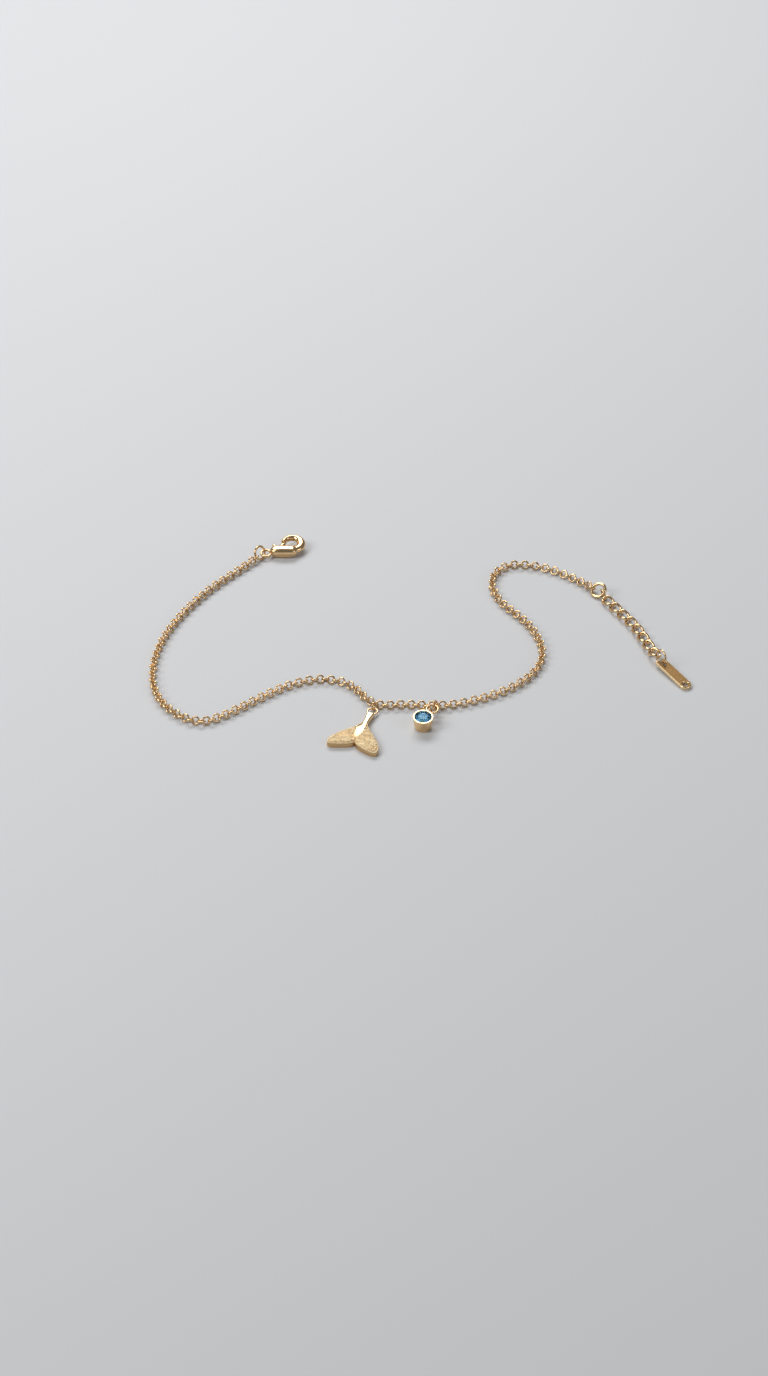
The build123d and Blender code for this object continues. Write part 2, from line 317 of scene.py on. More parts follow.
# %% Make the rings
saw_gap_mm = 0.04
ring_steps, ring_sides = 72, 24
sawn_edge = 60.0  # degrees: the edge of a sawn end turns at least this sharply
gap_bearing = {"clasp_jump_ring": 200, "tail_jump_ring": 15, "bezel_jump_ring": 250}
soldered_rings = ("end_ring",)


def circle_points(middle, directions, radius, start=0.0, gap=0.0, steps=ring_steps):
    """Places along a circle, from one side of a gap to the other."""
    if gap:
        half_gap = gap / radius / 2
        turn = np.radians(start) + np.linspace(half_gap, 2 * math.pi - half_gap, steps)
    else:
        turn = np.linspace(0, 2 * math.pi, steps, endpoint=False)
    spokes = np.outer(np.cos(turn), directions[0]) + np.outer(np.sin(turn), directions[1])
    return middle + radius * spokes


for name, (middle, directions, mean_radius, wire) in rings.items():
    whole = name in soldered_rings
    path = circle_points(
        middle, directions, mean_radius, gap_bearing.get(name, 90), 0 if whole else saw_gap_mm
    )
    vertices, faces = sweep_wire(path, directions[2], wire, ring_sides, closed=whole)
    make_piece(
        "visual_" + name,
        vertices,
        faces,
        polished_gold,
        "polished_gold_plate",
        (name,),
        sawn_edge,
    )

# %% [markdown]
# ## The route of the fine chain
#
# The chain lies in one long loose curve. Its route is a NURBS curve through the same control
# points as the CAD tube, so the links lie just where the tube does. The curve is turned into
# points, and then measured, so that a distance along the chain gives a place and a direction.

# %% Lay out the chain's route
chain_height = 0.85
route_corners = [
    (-38.85, 32.75, 1.2), (-42.6, 28.4), (-50.0, 20.4), (-56.2, 10.4), (-60.4, 0.3),
    (-61.9, -10.1), (-60.9, -18.9), (-56.6, -26.1), (-49.6, -30.1), (-43.2, -26.0),
    (-36.4, -20.4), (-30.4, -15.9), (-22.9, -13.3), (-15.8, -15.6), (-11.2, -23.7),
    (-3.6, -23.0), (5.0, -23.9), (14.1, -21.0), (22.8, -15.8), (27.9, -8.4),
    (28.2, -0.5), (24.8, 8.0), (18.7, 15.0), (16.4, 23.6), (20.4, 30.4),
    (28.4, 29.6), (34.6, 26.2), (39.2, 22.4), (41.5, 19.5, 1.4),
]

route_curve = bpy.data.curves.new("chain_route", "CURVE")
route_curve.dimensions = "3D"
route_curve.resolution_u = 32
route_spline = route_curve.splines.new("NURBS")
route_spline.points.add(len(route_corners) - 1)
for point, corner in zip(route_spline.points, route_corners):
    x, y, z = corner if len(corner) == 3 else (*corner, chain_height)
    point.co = (x * MM, y * MM, z * MM, 1.0)
route_spline.order_u = 3
route_spline.use_endpoint_u = True
route_object = bpy.data.objects.new("chain_route", route_curve)
bpy.context.scene.collection.objects.link(route_object)
route_mesh = bpy.data.meshes.new_from_object(route_object)
route = np.array([vertex.co[:] for vertex in route_mesh.vertices]) / MM
bpy.data.objects.remove(route_object)

run = np.concatenate([[0], np.cumsum(np.linalg.norm(np.diff(route, axis=0), axis=1))])
chain_length = run[-1]
print(f"chain route: {chain_length:.1f} mm in {len(route)} points")


def on_route(distance):
    """The place at each distance along the chain, in mm."""
    return np.stack([np.interp(distance, run, route[:, axis]) for axis in range(3)], axis=-1)


# %% [markdown]
# ## Rolo links
#
# A rolo chain is made of round links of one size, each at a right angle to the next. When it
# lies on a table every link leans 45 degrees, left and right in turn. Four links are special,
# as a ring passes through them: one at each end, one at the whale tail and one at the stone. So
# these four are placed first, and the others share out the lengths in between.
#
# Real chain is never quite even: a length of it rolls a little to one side and back, and each
# link also turns by a few degrees of its own. A link that stands up more steeply is lifted until
# it rests on the surface. All the links are one mesh, as they always move together.

# %% Share out the links
link_outside = 2.12
link_wire = 0.43
link_radius = (link_outside - link_wire) / 2
link_pitch = 1.25
link_clear = 0.01  # air below the lowest link


def nearest_run(node_name):
    """How far along the chain a ring passes through it."""
    middle, directions, mean_radius, _ = rings[node_name]
    loop = circle_points(middle, directions, mean_radius)
    gaps = np.linalg.norm(route[:, None] - loop[None], axis=2)
    return run[np.unravel_index(gaps.argmin(), gaps.shape)[0]]


end_slack = 0.28  # a ring at the chain's end pulls on the far side of its link
held = [
    nearest_run("clasp_jump_ring") + end_slack,
    nearest_run("tail_jump_ring"),
    nearest_run("bezel_link_ring"),
    nearest_run("end_ring") - end_slack,
]
# Rounded up, so that no link is stretched. The count is odd from the clasp to the stone and even
# from there, so that each held link leans the right way.
link_counts = [math.ceil((after - before) / link_pitch) for before, after in zip(held, held[1:])]
if (link_counts[0] + link_counts[1]) % 2 == 0:
    link_counts[0] += 1
link_counts[2] += link_counts[2] % 2
stations = [held[0]]
for before, after, links in zip(held, held[1:], link_counts):
    stations.extend(np.linspace(before, after, links + 1)[1:])
stations = np.array(stations)
print("held links at", [round(float(place), 2) for place in held], "links", len(stations))

# %% Make the links
spread_of_lean = 4.0  # degrees
roll_of_chain = 11.0  # degrees, towards the front and back again
roll_steady, roll_swing, roll_every = 0.6, 0.4, 9.0  # shares of the roll, and mm for a radian
link_steps, link_sides = 28, 10
rng = np.random.default_rng(12)
link_middles = on_route(stations)
link_ahead = unit(on_route(stations + 0.5) - on_route(stations - 0.5))
link_aside = unit(np.cross((0, 0, 1), link_ahead))
link_above = np.cross(link_ahead, link_aside)
lean_sign = np.where(np.arange(len(stations)) % 2 == 0, -1, 1)
roll = np.radians(roll_of_chain) * (roll_steady + roll_swing * np.sin(stations / roll_every))
lean = lean_sign * math.radians(45) + roll
lean += np.radians(rng.normal(0, spread_of_lean, len(stations)))
sway = np.radians(rng.normal(0, spread_of_lean / 2, len(stations)))

links = []
for middle, ahead, aside, above, tip, yaw in zip(
    link_middles, link_ahead, link_aside, link_above, lean, sway
):
    ahead = unit(ahead * math.cos(yaw) + aside * math.sin(yaw))
    hole = unit(np.cross(ahead, np.cross(aside * math.cos(tip) + above * math.sin(tip), ahead)))
    in_plane = np.cross(hole, ahead)
    lowest = middle[2] - link_radius * math.hypot(ahead[2], in_plane[2]) - link_wire / 2
    middle = middle + (0, 0, max(0, link_clear - lowest))
    path = circle_points(middle, (ahead, in_plane), link_radius, steps=link_steps)
    links.append(sweep_wire(path, hole, link_wire, link_sides))
vertices, faces = join(links)
make_piece("rolo_links", vertices, faces, wire_gold, "polished_gold_plate", ("main_chain",))
print("lowest link in mm:", round(float(vertices[:, 2].min()), 3))

# %% [markdown]
# ## Curb links of the extender
#
# A curb link is an oval of wire whose two ends are twisted opposite ways, so that a row of them
# lies flat and each one shows two bright strokes. The CAD link is made of short straight runs.
# Here each is one smooth loop in the same place: an oval, turned about its long axis by an angle
# that goes from one side to the other along its length.

# %% Make the curb links
curb_half_length = 1.92
curb_half_width = 1.2
curb_wire = 0.60
curb_twist = -45.0  # degrees, from the middle of a link to its end
curb_steps, curb_sides = 64, 16
curb_names = sorted(name for name in nodes if name.startswith("curb_link"))

turn = np.linspace(0, 2 * math.pi, curb_steps, endpoint=False)
twist = np.radians(curb_twist) * np.cos(turn)
flat_loop = np.stack(
    [
        curb_half_length * np.cos(turn),
        curb_half_width * np.sin(turn) * np.cos(twist),
        curb_half_width * np.sin(turn) * np.sin(twist),
    ],
    axis=1,
)
for name in curb_names:
    middle, directions = main_directions(name)
    path = middle + flat_loop @ directions
    vertices, faces = sweep_wire(path, directions[2], curb_wire, curb_sides)
    make_piece("visual_" + name, vertices, faces, polished_gold, "polished_gold_plate", (name,))

# %% [markdown]
# ## The whale tail's body
#
# The charm is a flat-backed casting with a soft pillow shape: full in the middle of each fluke,
# rounded down to a thin wall at the edge. Its outline is read from the flat underside of the
# CAD node. The inside is filled with an even field of points, joined into triangles, and each
# point is raised by how far it is from the edge.

# %% Read the outline
def underside_outline(node_name):
    """The edge of a node's flat underside, in order, in mm."""
    mesh = nodes[node_name].data
    uses = {}
    for polygon in mesh.polygons:
        corners = [mesh.vertices[corner].co for corner in polygon.vertices]
        if max(abs(corner.z) for corner in corners) > 1e-3 * MM:
            continue
        spots = [(round(corner.x / MM, 3), round(corner.y / MM, 3)) for corner in corners]
        for edge in zip(spots, spots[1:] + spots[:1]):
            uses[frozenset(edge)] = uses.get(frozenset(edge), 0) + 1
    beside = {}
    for edge, times in uses.items():
        if times == 1 and len(edge) == 2:
            one, other = edge
            beside.setdefault(one, []).append(other)
            beside.setdefault(other, []).append(one)
    walk = [next(iter(beside))]
    walk.append(beside[walk[0]][0])
    while walk[-1] != walk[0]:
        walk.append(next(spot for spot in beside[walk[-1]] if spot != walk[-2]))
    return np.array(walk)


def even_steps(loop, step):
    """Places a step apart along a closed loop."""
    lengths = np.concatenate([[0], np.cumsum(np.linalg.norm(np.diff(loop, axis=0), axis=1))])
    along = np.linspace(0, lengths[-1], round(lengths[-1] / step), endpoint=False)
    return np.stack([np.interp(along, lengths, loop[:, axis]) for axis in range(2)], axis=1)


edge_step = 0.14  # mm between places along the outline
tail_edge = even_steps(underside_outline("tail_charm"), edge_step)
following = np.roll(tail_edge, -1, axis=0)
if (tail_edge[:, 0] * following[:, 1] - following[:, 0] * tail_edge[:, 1]).sum() < 0:
    tail_edge = tail_edge[::-1]
    following = np.roll(tail_edge, -1, axis=0)
print("tail outline points:", len(tail_edge))


def edge_distance(spots):
    """How far each spot is from the tail's outline, in mm."""
    along = following - tail_edge
    offset = spots[:, None] - tail_edge[None]
    share = np.clip((offset * along).sum(2) / (along**2).sum(1), 0, 1)
    return np.linalg.norm(offset - share[..., None] * along, axis=2).min(1)


def inside_tail(spots):
    """Which spots are inside the outline, by counting edges to one side."""
    x, y = spots[:, 0, None], spots[:, 1, None]
    (x0, y0), (x1, y1) = tail_edge.T, following.T
    crosses = (y0 > y) != (y1 > y)
    level = np.where(crosses, (y - y0) / np.where(y1 == y0, 1, y1 - y0), 0)
    return ((x0 + level * (x1 - x0) > x) & crosses).sum(1) % 2 == 1


# %% Raise the pillow
tail_eye_middle = np.array([-11.15, -25.35, 0.68])
tail_heading = math.radians(-19.4)
up_the_stem = np.array([-math.sin(tail_heading), math.cos(tail_heading)])
across_the_stem = np.array([math.cos(tail_heading), math.sin(tail_heading)])
neck_starts, neck_ends = 4.6, 6.2  # mm from the eye: the stem turns into the flukes
fluke_form = {"wall": 0.92, "pillow": 0.50, "rounding": 1.0}
stem_form = {"wall": 1.12, "pillow": 0.26, "rounding": 0.34}
tail_field = 0.15  # distance between points of the field
row_share = 0.866  # rows of an even triangular field are this much closer
field_margin = 0.06  # the field starts this far inside the outline


def in_tail(spots):
    """How far each spot is down the tail from the eye, and how far aside."""
    from_eye = spots - tail_eye_middle[:2]
    return -(from_eye @ up_the_stem), from_eye @ across_the_stem


def tail_height(spots):
    """Height of the tail's top at each spot: a wall at the edge and a round pillow inside."""
    down, _ = in_tail(spots)
    fluke = np.clip((down - neck_starts) / (neck_ends - neck_starts), 0, 1)
    wall, pillow, rounding = (
        stem_form[key] + fluke * (fluke_form[key] - stem_form[key])
        for key in ("wall", "pillow", "rounding")
    )
    inward = np.clip(edge_distance(spots) / rounding, 0, 1)
    return wall + pillow * np.sqrt(1 - (1 - inward) ** 2)


low, high = tail_edge.min(0), tail_edge.max(0)
field = np.array(
    [
        (x + (row % 2) * tail_field / 2, y)
        for row, y in enumerate(np.arange(low[1], high[1], tail_field * row_share))
        for x in np.arange(low[0], high[0], tail_field)
    ]
)
field = field[inside_tail(field)]
field = field[edge_distance(field) > field_margin]
count = len(tail_edge)
spots, _, triangles, *_ = delaunay_2d_cdt(
    [Vector(spot) for spot in np.concatenate([tail_edge, field])],
    [(corner, (corner + 1) % count) for corner in range(count)],
    [],
    1,
    1e-6,
)
spots = np.array([spot[:] for spot in spots])
top = np.column_stack([spots, tail_height(spots)])
bottom = np.column_stack([tail_edge, np.zeros(count)])
wall = [
    (len(top) + corner, len(top) + (corner + 1) % count, (corner + 1) % count, corner)
    for corner in range(count)
]
back = [tuple(len(top) + corner for corner in reversed(range(count)))]
tail_mesh = (np.concatenate([top, bottom]), [tuple(face) for face in triangles] + wall + back)
print("tail field:", len(field), "points,", len(triangles), "triangles")

# %% [markdown]
# The eye at the top of the stem is a ring of wire, cast in one piece with the charm. Its middle
# is where the jump ring's hole is nearest to the charm, and its size is the CAD node's.

# %% Add the eye
tail_eye_outside = 2.65
tail_eye_wire = 0.42
upright = np.array([0.0, 0.0, 1.0])
eye_path = circle_points(
    tail_eye_middle, np.eye(3), (tail_eye_outside - tail_eye_wire) / 2, steps=64
)
eye_sides = 20
tail_eye = sweep_wire(eye_path, upright, tail_eye_wire, eye_sides)
print("tail eye:", tail_eye_outside, "mm across, of wire", tail_eye_wire)

# %% [markdown]
# ## Granulation
#
# Granulation is an old goldsmith's finish: tiny balls of gold are fused side by side on a
# surface. Here they cover the flukes from the neck on. A smooth spine runs down the middle from
# the stem and tapers to nothing. The first beads go along the outline. The others start at
# random places inside, and then each one moves to the middle of the patch that is nearer to it
# than to any other bead. After forty rounds they lie evenly, like balls that have been shaken
# down, with no bare patches. The upright wall stays plain. Each bead is sunk a little, as it is
# fused to the metal below it.

# %% Place the beads
bead_across = 0.47
bead_spacing = 0.405
bead_rise = -0.04  # middle of a bead above the surface; less than nothing, as it is sunk
bead_crowding = 1.06  # a little more than their even share of beads
row_inset = 0.17  # middle of the first row inside the outline
inner_margin = 0.12  # the inner beads keep this much further in
search_step = 0.08  # mm between the places that are shared out among the beads
shaking_rounds = 40
beads_start = 5.3  # mm from the eye
spine_ends = 10.4
spine_half_width = 0.85
spine_neck, spine_swell = 0.62, 1.5  # shares of it: at the top, and gained on the way down
spine_shift = -0.25  # the spine leans to one side of the middle


def beaded(spots):
    """Which spots are on the granulated part of the flukes."""
    down, aside = in_tail(spots)
    share = np.clip((down - beads_start) / (spine_ends - beads_start), 0, 1)
    taper = (spine_neck + spine_swell * share) * np.sqrt(1 - share)
    return (down > beads_start) & (np.abs(aside - spine_shift) > spine_half_width * taper)


edge_row = even_steps(np.vstack([tail_edge, tail_edge[:1]]), bead_spacing)
edge_ahead = unit(np.roll(edge_row, -1, axis=0) - np.roll(edge_row, 1, axis=0))
edge_inward = np.column_stack([-edge_ahead[:, 1], edge_ahead[:, 0]])
on_fluke = in_tail(edge_row)[0] > beads_start
first_row = (edge_row + row_inset * edge_inward)[on_fluke]
free = np.array(
    [
        (x, y)
        for y in np.arange(low[1], high[1], search_step)
        for x in np.arange(low[0], high[0], search_step)
    ]
)
free = free[inside_tail(free)]
free = free[beaded(free) & (edge_distance(free) > row_inset + inner_margin)]
free = free[np.linalg.norm(free[:, None] - first_row[None], axis=2).min(1) > bead_spacing / 2]
free_area = len(free) * search_step**2
inner_count = round(bead_crowding * free_area / (row_share * bead_spacing**2))
inner = free[rng.choice(len(free), inner_count, replace=False)]
for _ in range(shaking_rounds):
    middles = np.concatenate([first_row, inner])
    owner = np.linalg.norm(free[:, None] - middles[None], axis=2).argmin(1)
    inner = np.array(
        [
            free[owner == bead].mean(0) if (owner == bead).any() else middles[bead]
            for bead in range(len(first_row), len(middles))
        ]
    )
beads = np.concatenate([first_row, inner])
print("beads:", len(beads))

# %% Make the beads
def ball_rows(polar, sides):
    """Rings of places on a ball of radius one, each at an angle from the top."""
    turn = np.linspace(0, 2 * math.pi, sides, endpoint=False)
    circle = np.column_stack([np.cos(turn), np.sin(turn)])
    return [np.column_stack([math.sin(p) * circle, np.full(sides, math.cos(p))]) for p in polar]


def cap_faces(sides):
    """Faces from a top place, which is vertex 0, to the first ring."""
    return [(0, 1 + side, 1 + (side + 1) % sides) for side in range(sides)]


def shifted(faces, start):
    """The same faces, turned over, with their vertices counted from start."""
    return [tuple(start + corner for corner in (face[0], *reversed(face[1:]))) for face in faces]


bead_rings, bead_sides = 6, 12
bead_seen_to = 0.8 * math.pi  # below this angle from the top a bead is inside the metal
smallest_bead, largest_bead = 0.86, 1.06
polar = np.linspace(0, bead_seen_to, bead_rings)[1:]
bead_shape = np.concatenate([[(0, 0, 1)], *ball_rows(polar, bead_sides)])
bead_faces = cap_faces(bead_sides) + shifted(band_faces(len(polar), bead_sides), 1)
bead_middles = np.column_stack([beads, tail_height(beads) + bead_rise])
bead_radii = bead_across / 2 * rng.uniform(smallest_bead, largest_bead, len(bead_middles))
bead_mesh = join(
    [(middle + radius * bead_shape, bead_faces) for middle, radius in zip(bead_middles, bead_radii)]
)

# %% [markdown]
# The metal between the beads is rougher than the beads, because a polishing wheel rides over
# the tops and can't reach it. Its colour is also a little darker, and that darker colour is
# painted shade for the hollows between the beads and the wall below them. The stem is polished
# like the other pieces, so the tail's material turns from one to the other along the stem and
# the spine. The beads are frosted a little, and their pale colour is painted light, which makes
# them the palest gold of all against the painted shade between them.

# %% Tail finish
matt_and_shade_from = spine_ends + 0.5  # mm from the eye


def tail_plate():
    """Polished on the stem; matt between the beads, with painted shade there."""
    material, tree = empty_material("tail_gold_plate")
    place = add_node(tree, "TexCoord").outputs["Object"]
    grain = add_node(tree, "TexNoise", {"Vector": place, "Scale": per_mm(0.08), "Detail": 4.0})
    eye = Vector(tail_eye_middle * MM)
    down = Vector((*-up_the_stem, 0))
    from_eye = add_node(tree, "VectorMath", {0: place, 1: eye}, operation="SUBTRACT")
    along = add_node(
        tree, "VectorMath", {0: from_eye.outputs["Vector"], 1: down}, operation="DOT_PRODUCT"
    )
    matt_and_shade = add_node(
        tree,
        "MapRange",
        {
            "Value": along.outputs["Value"],
            "From Min": beads_start * MM,
            "From Max": matt_and_shade_from * MM,
        },
    )
    # The darker tone is painted shade for the hollows between the beads and the wall; the roughness
    # below is the real matt finish.
    tone = add_node(
        tree,
        "Mix",
        {"Factor": matt_and_shade.outputs["Result"], "A": champagne_gold, "B": linear("#D6B382")},
        data_type="RGBA",
    )
    rough = add_node(
        tree, "MapRange", {"Value": matt_and_shade.outputs["Result"], "To Min": 0.16, "To Max": 0.42}
    )
    bump = add_node(
        tree,
        "Bump",
        {"Height": grain.outputs["Fac"], "Strength": 0.3, "Distance": 0.01 * MM},
    )
    shader = add_node(
        tree,
        "BsdfPrincipled",
        {
            "Base Color": tone.outputs["Result"],
            "Metallic": 1.0,
            "Roughness": rough.outputs["Result"],
            "Normal": bump.outputs["Normal"],
        },
    )
    add_node(tree, "OutputMaterial", {"Surface": shader.outputs["BSDF"]})
    return material


soft_edge = 50.0  # degrees: a casting's edges turn at least this sharply
make_piece(
    "whale_tail",
    *join([tail_mesh, tail_eye]),
    tail_plate(),
    "granulated_gold_plate",
    ("tail_charm",),
    soft_edge,
)
# The beads' pale colour is painted light, set against the painted shade between them.
bead_gold = gold_plate(
    "bead_gold_plate", 0.20, 0.32, 0.3, 0.003, linear("#F8E6C4"), linear("#F0D5A6")
)
make_piece("tail_beads", *bead_mesh, bead_gold, "granulated_gold_plate")

# %% [markdown]
# ## Brushed tag
#
# The tag is stamped from sheet, and its face is brushed lengthways on a belt. Each scratch is
# far longer than it is wide, so the light spreads across the scratches. The face's dark brown
# colour is a painted reflection of a dark surround, which makes it darker and browner than the
# edge. The scratches are noise that is stretched fifty times along the tag. Real ones are finer,
# and these are drawn as coarse as they need to be to show. The cut edge and its bevel are
# burnished: smooth but not a mirror, and their paler colour is partly a painted highlight.

# %% Brushed finish
_, tag_directions = main_directions("tag")
tag_bearing = math.atan2(tag_directions[0][1], tag_directions[0][0])
scratch_mm = 0.07  # width of a scratch
scratch_stretch = 0.02  # how much slower the noise changes along the tag


def brushed_dark_reflection_plate():
    """Gold plate with fine scratches along the tag; its dark browns are a painted reflection."""
    material, tree = empty_material("brushed_gold_plate")
    place = add_node(tree, "TexCoord").outputs["Object"]
    turned = add_node(
        tree, "VectorRotate", {"Vector": place, "Angle": -tag_bearing}, rotation_type="Z_AXIS"
    )
    stretched = add_node(
        tree,
        "VectorMath",
        {0: turned.outputs["Vector"], 1: (scratch_stretch, 1, 1)},
        operation="MULTIPLY",
    )
    scratches = add_node(
        tree,
        "TexNoise",
        {
            "Vector": stretched.outputs["Vector"],
            "Scale": per_mm(scratch_mm),
            "Detail": 5.0,
            "Roughness": 0.7,
        },
    )
    # The two dark browns are a painted reflection of a dark surround; the scratches only vary them.
    tone = add_node(
        tree,
        "Mix",
        {"Factor": scratches.outputs["Fac"], "A": linear("#8C6E46"), "B": linear("#5E4629")},
        data_type="RGBA",
    )
    rough = add_node(
        tree, "MapRange", {"Value": scratches.outputs["Fac"], "To Min": 0.30, "To Max": 0.50}
    )
    bump = add_node(
        tree,
        "Bump",
        {"Height": scratches.outputs["Fac"], "Strength": 0.6, "Distance": 0.02 * MM},
    )
    shader = add_node(
        tree,
        "BsdfPrincipled",
        {
            "Base Color": tone.outputs["Result"],
            "Metallic": 1.0,
            "Roughness": rough.outputs["Result"],
            "Normal": bump.outputs["Normal"],
        },
    )
    add_node(tree, "OutputMaterial", {"Surface": shader.outputs["BSDF"]})
    return material


refinish("tag", brushed_dark_reflection_plate())
# The edge's paler colour is partly a painted highlight; its higher roughness is the burnish.
burnished_highlight_gold = gold_plate(
    "burnished_gold_plate", 0.30, 0.40, 0.5, 0.001, linear("#F4DDB4"), champagne_gold
)
tag_mesh = nodes["tag"].data
tag_mesh.materials.append(burnished_highlight_gold)
tag_normal = Vector(tag_directions[2])
flat_enough = 0.98  # cosine of the angle between a face that is brushed and the tag
for polygon in tag_mesh.polygons:
    polygon.material_index = 0 if abs(polygon.normal.dot(tag_normal)) > flat_enough else 1
print("tag lies at", round(math.degrees(tag_bearing), 1), "degrees")

# %% [markdown]
# ## Lobster clasp
#
# The clasp's body is one casting: a pillow-shaped bar, a hook of round section that thins to
# its tip, and an eye. The CAD body has the right sizes but square shoulders. Here each part is
# built in its full round shape, overlapping the others. A voxel remesh melts them together into
# one skin, and a few steps of smoothing turn the joints into the small fillets that a casting
# has. Last the slot for the lever is sawn through the bar.
#
# The clasp has its own directions: x along the bar, y to the hook's back, z up through the slot.
# The pin's node gives the direction of z and a known place.

# %% The clasp's own directions
pin_middle, pin_directions = main_directions("clasp_pin")
clasp_up = pin_directions[0] * math.copysign(1, pin_directions[0][2])
clasp_along = np.array([1.0, 0.0, 0.0])
clasp_axes = np.array([clasp_along, np.cross(clasp_up, clasp_along), clasp_up])
pin_place = np.array([1.3, 1.6, 0.0])  # the pin's middle in the clasp's directions, in mm


def in_clasp(places):
    """Turn places in the clasp's own directions into places on the anklet, in mm."""
    return pin_middle + (np.asarray(places) - pin_place) @ clasp_axes


print("clasp z direction:", clasp_up.round(3))


# %% Melt parts into one casting
def cast(parts, voxel_mm, smoothing_steps, cut=None):
    """One smooth skin round overlapping closed parts, less an optional cut."""
    scratch = []

    def scratch_object(vertices, faces):
        mesh = bpy.data.meshes.new("scratch")
        mesh.from_pydata(np.asarray(vertices).tolist(), [], faces)
        made = bpy.data.objects.new("scratch", mesh)
        bpy.context.scene.collection.objects.link(made)
        scratch.append(made)
        return made

    body = scratch_object(*join(parts))
    remesh = body.modifiers.new("melt", "REMESH")
    remesh.mode = "VOXEL"
    remesh.voxel_size = voxel_mm
    smooth = body.modifiers.new("tumble", "SMOOTH")
    smooth.iterations = smoothing_steps
    if cut:
        saw = body.modifiers.new("saw", "BOOLEAN")
        saw.operation = "DIFFERENCE"
        saw.object = scratch_object(*cut)
    graph = bpy.context.evaluated_depsgraph_get()
    skin = bpy.data.meshes.new_from_object(body.evaluated_get(graph))
    vertices = np.array([vertex.co[:] for vertex in skin.vertices])
    faces = [tuple(polygon.vertices) for polygon in skin.polygons]
    for made in scratch:
        bpy.data.objects.remove(made)
    return vertices, faces


def rounded_block(middle, half_sizes, power, steps=48):
    """A closed block with soft sides: the higher the power, the squarer it is."""
    polar = np.linspace(0, math.pi, steps // 2 + 1)[1:-1]
    ball = np.concatenate([[(0, 0, 1)], *ball_rows(polar, steps), [(0, 0, -1)]])
    reach = (np.abs(ball) ** power).sum(1, keepdims=True) ** (-1 / power)
    last, start = len(ball) - 1, len(ball) - 1 - steps
    faces = cap_faces(steps) + shifted(band_faces(len(polar), steps), 1)
    faces += [(last, start + (side + 1) % steps, start + side) for side in range(steps)]
    return np.asarray(middle) + ball * reach * half_sizes, faces


def box(low, high):
    """A plain box between two corners."""
    corners = [
        (x, y, z) for x in (low[0], high[0]) for y in (low[1], high[1]) for z in (low[2], high[2])
    ]
    faces = [(0, 1, 3, 2), (4, 6, 7, 5), (0, 4, 5, 1), (2, 3, 7, 6), (0, 2, 6, 4), (1, 5, 7, 3)]
    return corners, faces


# %% [markdown]
# The hook lies between two circles that aren't concentric, so it thins towards its tip. Its
# section is taken along rays from the hole's middle: half the distance between the circles
# across, and half the casting's thickness up.

# %% Make the clasp body
hole_middle, hole_radius = np.array([4.78, 3.78]), 1.28
back_middle, back_radius = np.array([5.18, 3.6]), 3.0
hook_half_thickness = 0.82
hook_start, hook_end, hook_tip = -80, 176, 14  # degrees round the hole, and the tip's share
hook_steps, hook_sides = 64, 24
hook_turn = np.radians(np.linspace(hook_start, hook_end, hook_steps))
rays = np.column_stack([np.cos(hook_turn), np.sin(hook_turn)])
lead = hole_middle - back_middle
reach = -(rays @ lead) + np.sqrt((rays @ lead) ** 2 - lead @ lead + back_radius**2)
half_across = (reach - hole_radius) / 2
near_tip = np.clip((hook_turn[-1] - hook_turn) / math.radians(hook_tip), 0, 1)
blunt_end = 0.02  # the tip closes to this share of its width
tip_taper = np.sqrt(1 - (1 - near_tip) ** 2) * (1 - blunt_end) + blunt_end
around = np.linspace(0, 2 * math.pi, hook_sides, endpoint=False)
hook_rows = []
for ray, half, taper in zip(rays, half_across, tip_taper):
    middle = hole_middle + ray * (hole_radius + half)
    flat = middle + np.outer(np.cos(around) * half * taper, ray)
    hook_rows.append(np.column_stack([flat, np.sin(around) * hook_half_thickness * taper]))
hook = np.concatenate(hook_rows)
hook_faces = band_faces(len(hook_rows), hook_sides) + end_faces(len(hook), hook_sides)

bar = rounded_block((3.0, 1.12, 0.03), (3.25, 1.36, 1.31), 3.1)
eye_middle, eye_outside, eye_wire = np.array([-1.25, 0.65, -0.18]), 2.9, 0.62
clasp_eye = sweep_wire(
    circle_points(eye_middle, np.eye(3), (eye_outside - eye_wire) / 2), upright, eye_wire, eye_sides
)
eye_neck = rounded_block((0.1, 0.9, -0.15), (0.45, 0.5, 0.4), 2.4, 24)
lever_slot = box((0.35, 0.8, -0.6), (4.2, 3.1, 0.6))
body_voxel, body_smoothing = 0.07, 11
body_parts = [bar, (hook, hook_faces), clasp_eye, eye_neck]
vertices, faces = cast(body_parts, body_voxel, body_smoothing, lever_slot)
make_piece(
    "visual_clasp_body",
    in_clasp(vertices),
    faces,
    polished_gold,
    "polished_gold_plate",
    ("clasp_body",),
    soft_edge,
)

# %% [markdown]
# The lever is a small casting too: one arm closes the gate, the other is for the thumb, and both
# thin from the pin outwards. Each arm is a bar of soft section between two round ends. The
# lever rides on its own body, so it swings.

